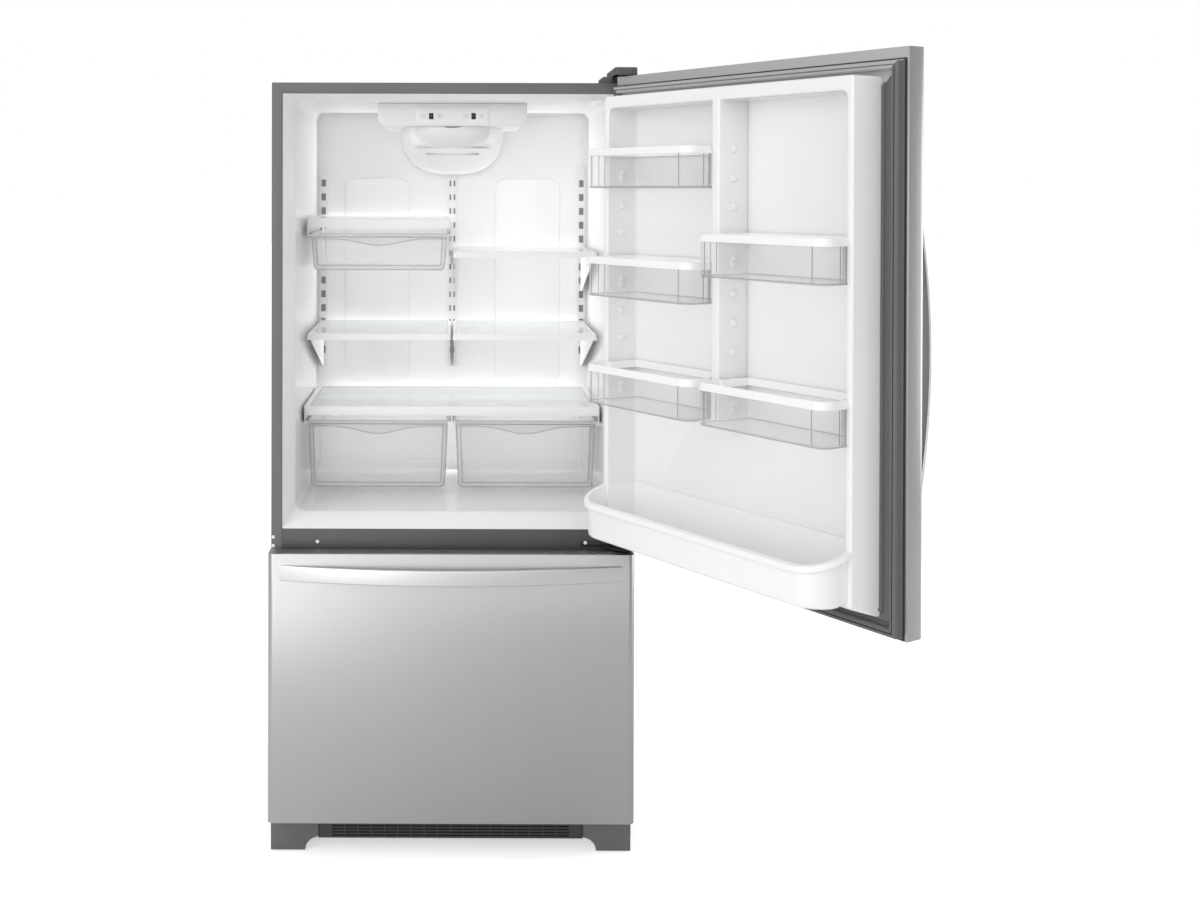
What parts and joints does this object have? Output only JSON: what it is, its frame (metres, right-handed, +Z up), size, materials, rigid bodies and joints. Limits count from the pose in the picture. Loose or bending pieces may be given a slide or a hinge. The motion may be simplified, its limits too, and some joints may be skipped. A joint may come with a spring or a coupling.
{
  "type": "bottom freezer refrigerator",
  "caption": "Upright refrigerator over a pull-out freezer drawer, its hinged fridge door stored wide open.",
  "frame": {"origin": "middle of the whole object's footprint on the floor, with the fridge door at its stored opening", "axes": "+Z up, +X to the right as seen from the front, +Y from the front to the back"},
  "size_m": [1.3, 1.4508, 1.802],
  "materials": {
    "black_paint": "satin black",
    "black_plastic": "moulded black",
    "charcoal_plastic": "fine texture",
    "clear_plastic": "clear styrene",
    "dark_steel": "satin black",
    "fin_aluminium": "rolled fins",
    "foam": "polyurethane foam",
    "frosted_plastic": "translucent white",
    "galvanised": "dull zinc",
    "grey_paint": "fine textured paint",
    "grey_rubber": "soft vinyl seal",
    "panel_grey": "satin grey",
    "shelf_glass": "clear tempered glass",
    "stainless": "brushed, upright grain",
    "white_frame": "satin white",
    "white_plastic": "glossy moulded",
    "white_steel": "white powder paint",
    "zinc_steel": "zinc plated"
  },
  "bodies": {
    "cabinet": {"cabinet_shell": "grey_paint", "back_panel": "galvanised", "foam_core": "foam", "fridge_liner": "white_plastic", "freezer_liner": "white_plastic", "centre_rail": "grey_paint", "shelf_tracks": "white_steel", "shelf_frames": "white_frame", "shelf_glass": "shelf_glass", "crisper_cover": "white_frame", "control_housing": "white_plastic", "control_panel": "panel_grey", "light_dome": "frosted_plastic", "hinge_brackets": "dark_steel", "hinge_cover": "charcoal_plastic", "fasteners": "zinc_steel", "fixed_rails": "zinc_steel", "evaporator": "fin_aluminium", "evaporator_cover": "white_plastic", "fan_motors": "dark_steel", "compressor": "black_paint", "condenser": "black_paint", "drain_pan": "black_plastic", "machine_cover": "galvanised", "cord_gland": "black_plastic", "base_frame": "galvanised", "toe_grille": "charcoal_plastic"},
    "fridge_door": {"door_skin": "stainless", "door_foam": "foam", "door_liner": "white_plastic", "door_bushings": "black_plastic", "door_gasket": "grey_rubber", "door_handle": "stainless"},
    "freezer_drawer": {"drawer_skin": "stainless", "drawer_core": "white_plastic", "drawer_gasket": "grey_rubber", "drawer_handle": "stainless", "moving_rails": "zinc_steel"},
    "lower_basket": {"lower_basket": "white_frame"},
    "upper_basket": {"upper_basket": "white_frame"},
    "crisper_left": {"crisper_left": "clear_plastic"},
    "crisper_right": {"crisper_right": "clear_plastic"},
    "deli_drawer": {"deli_drawer": "clear_plastic"},
    "gallon_bin": {"gallon_bin": "white_plastic"},
    "humidity_slider_left": {"humidity_slider_left": "panel_grey"},
    "humidity_slider_right": {"humidity_slider_right": "panel_grey"},
    "evaporator_fan": {"evaporator_fan": "black_plastic"},
    "condenser_fan": {"condenser_fan": "black_plastic"},
    "rear_rollers": {"rear_rollers": "black_plastic"},
    "leg_left": {"leg_left": "zinc_steel"},
    "leg_right": {"leg_right": "zinc_steel"},
    "bin_left_top": {"bin_left_top": "clear_plastic"},
    "bin_left_middle": {"bin_left_middle": "clear_plastic"},
    "bin_left_bottom": {"bin_left_bottom": "clear_plastic"},
    "bin_right_top": {"bin_right_top": "clear_plastic"},
    "bin_right_bottom": {"bin_right_bottom": "clear_plastic"},
    "key_1": {"key_1": "panel_grey"},
    "key_2": {"key_2": "panel_grey"},
    "key_3": {"key_3": "panel_grey"},
    "key_4": {"key_4": "panel_grey"}
  },
  "joints": [
    {"name": "door_hinge", "type": "hinge", "parent": "cabinet", "child": "fridge_door", "pos_m": [0.16347, -0.01111, 0.712], "axis": [0, 0, 1], "range_deg": [-122.1, 12.9]},
    {"name": "drawer_slide", "type": "slide", "parent": "cabinet", "child": "freezer_drawer", "axis": [0, -1, 0], "range_m": [0, 0.38]},
    {"name": "upper_basket_slide", "type": "slide", "parent": "cabinet", "child": "upper_basket", "axis": [0, -1, 0], "range_m": [0, 0.247]},
    {"name": "crisper_left_slide", "type": "slide", "parent": "cabinet", "child": "crisper_left", "axis": [0, -1, 0], "range_m": [0, 0.255]},
    {"name": "crisper_right_slide", "type": "slide", "parent": "cabinet", "child": "crisper_right", "axis": [0, -1, 0], "range_m": [0, 0.255]},
    {"name": "deli_drawer_slide", "type": "slide", "parent": "cabinet", "child": "deli_drawer", "axis": [0, -1, 0], "range_m": [0, 0.235]},
    {"name": "humidity_left_slide", "type": "slide", "parent": "cabinet", "child": "humidity_slider_left", "axis": [1, 0, 0], "range_m": [0, 0.03]},
    {"name": "humidity_right_slide", "type": "slide", "parent": "cabinet", "child": "humidity_slider_right", "axis": [-1, 0, 0], "range_m": [0, 0.03]},
    {"name": "spin_evaporator_fan", "type": "hinge", "parent": "cabinet", "child": "evaporator_fan", "pos_m": [-0.23403, 0.52859, 0.573], "axis": [0, 1, 0], "continuous": true},
    {"name": "spin_condenser_fan", "type": "hinge", "parent": "cabinet", "child": "condenser_fan", "pos_m": [-0.36903, 0.58459, 0.165], "axis": [1, 0, 0], "continuous": true},
    {"name": "roll_rear_rollers", "type": "hinge", "parent": "cabinet", "child": "rear_rollers", "pos_m": [-0.23403, 0.62459, 0.022], "axis": [1, 0, 0], "continuous": true},
    {"name": "leg_left_height", "type": "slide", "parent": "cabinet", "child": "leg_left", "axis": [0, 0, 1], "range_m": [-0.012, 0]},
    {"name": "leg_right_height", "type": "slide", "parent": "cabinet", "child": "leg_right", "axis": [0, 0, 1], "range_m": [-0.012, 0]},
    {"name": "lift_gallon_bin", "type": "slide", "parent": "fridge_door", "child": "gallon_bin", "axis": [0, 0, 1], "range_m": [0, 0.03]},
    {"name": "lift_lower_basket", "type": "slide", "parent": "freezer_drawer", "child": "lower_basket", "axis": [0, 0, 1], "range_m": [0, 0.03]},
    {"name": "lift_bin_left_top", "type": "slide", "parent": "fridge_door", "child": "bin_left_top", "axis": [0, 0, 1], "range_m": [0, 0.03]},
    {"name": "lift_bin_left_middle", "type": "slide", "parent": "fridge_door", "child": "bin_left_middle", "axis": [0, 0, 1], "range_m": [0, 0.03]},
    {"name": "lift_bin_left_bottom", "type": "slide", "parent": "fridge_door", "child": "bin_left_bottom", "axis": [0, 0, 1], "range_m": [0, 0.03]},
    {"name": "lift_bin_right_top", "type": "slide", "parent": "fridge_door", "child": "bin_right_top", "axis": [0, 0, 1], "range_m": [0, 0.03]},
    {"name": "lift_bin_right_bottom", "type": "slide", "parent": "fridge_door", "child": "bin_right_bottom", "axis": [0, 0, 1], "range_m": [0, 0.03]},
    {"name": "press_key_1", "type": "slide", "parent": "cabinet", "child": "key_1", "axis": [0, 1, 0], "range_m": [0, 0.001], "stiffness_N_per_m": 400},
    {"name": "press_key_2", "type": "slide", "parent": "cabinet", "child": "key_2", "axis": [0, 1, 0], "range_m": [0, 0.001], "stiffness_N_per_m": 400},
    {"name": "press_key_3", "type": "slide", "parent": "cabinet", "child": "key_3", "axis": [0, 1, 0], "range_m": [0, 0.001], "stiffness_N_per_m": 400},
    {"name": "press_key_4", "type": "slide", "parent": "cabinet", "child": "key_4", "axis": [0, 1, 0], "range_m": [0, 0.001], "stiffness_N_per_m": 400}
  ],
  "couplings": [
    {"joint": "upper_basket_slide", "follows": "drawer_slide", "ratio": 0.65}
  ]
}
